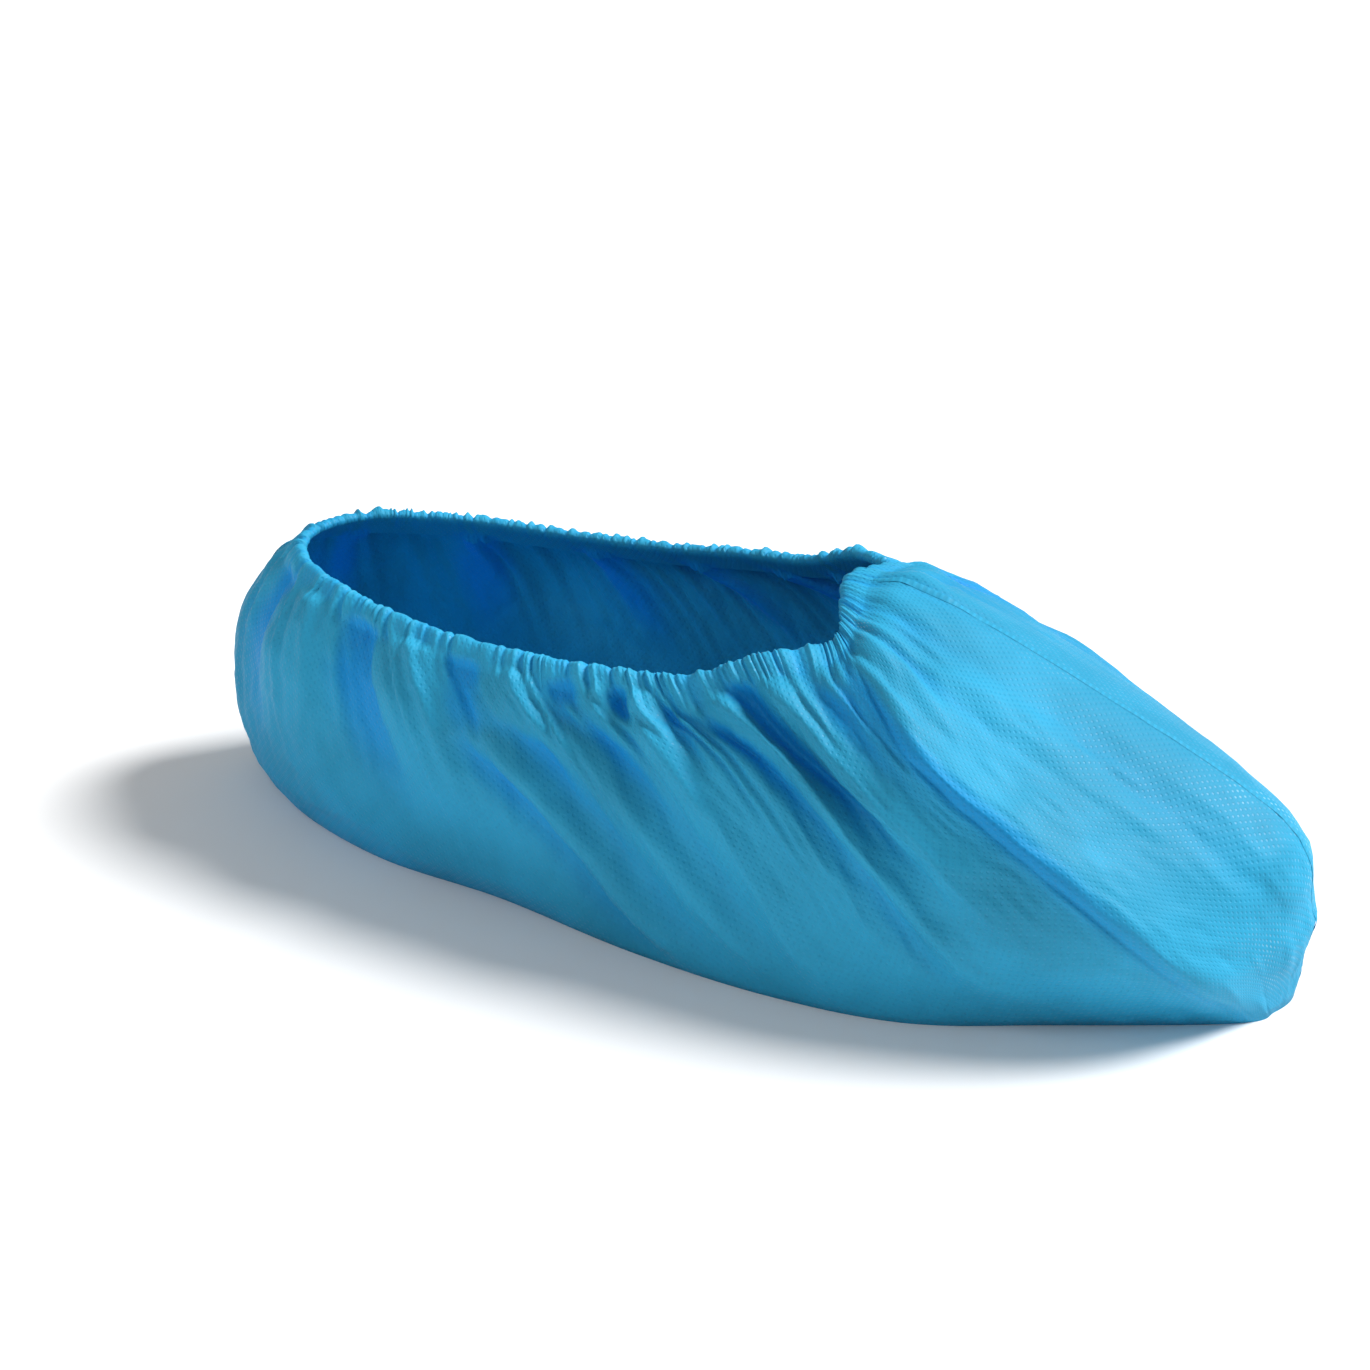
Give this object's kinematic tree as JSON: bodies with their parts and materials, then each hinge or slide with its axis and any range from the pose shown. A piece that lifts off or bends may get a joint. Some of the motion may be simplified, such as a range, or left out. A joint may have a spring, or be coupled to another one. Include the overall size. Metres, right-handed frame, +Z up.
{
  "type": "shoe cover",
  "caption": "Open-topped overshoe of thin non-woven cloth with a flat sole, welded toe and heel seams and an elasticated, gathered opening round the ankle.",
  "frame": {"origin": "on the floor, under the middle of the cover's length and width", "axes": "+X towards the toe, +Z up, +Y across the foot; the cover stands on its sole"},
  "size_m": [0.3242, 0.1154, 0.097],
  "materials": {
    "cover_cloth": "matt spunbonded non-woven with an embossed grid of small points",
    "hem_cloth": "the same non-woven, turned double and finely gathered",
    "welded_seam": "the same non-woven, fused flat and a little glossier",
    "elastic": "plain; hidden in the hem, so its colour and make are a guess"
  },
  "bodies": {
    "root": {"cover_body": "cover_cloth", "gathered_hem": "hem_cloth", "elastic_band": "elastic", "toe_seam": "welded_seam", "heel_seam": "welded_seam"}
  },
  "joints": []
}
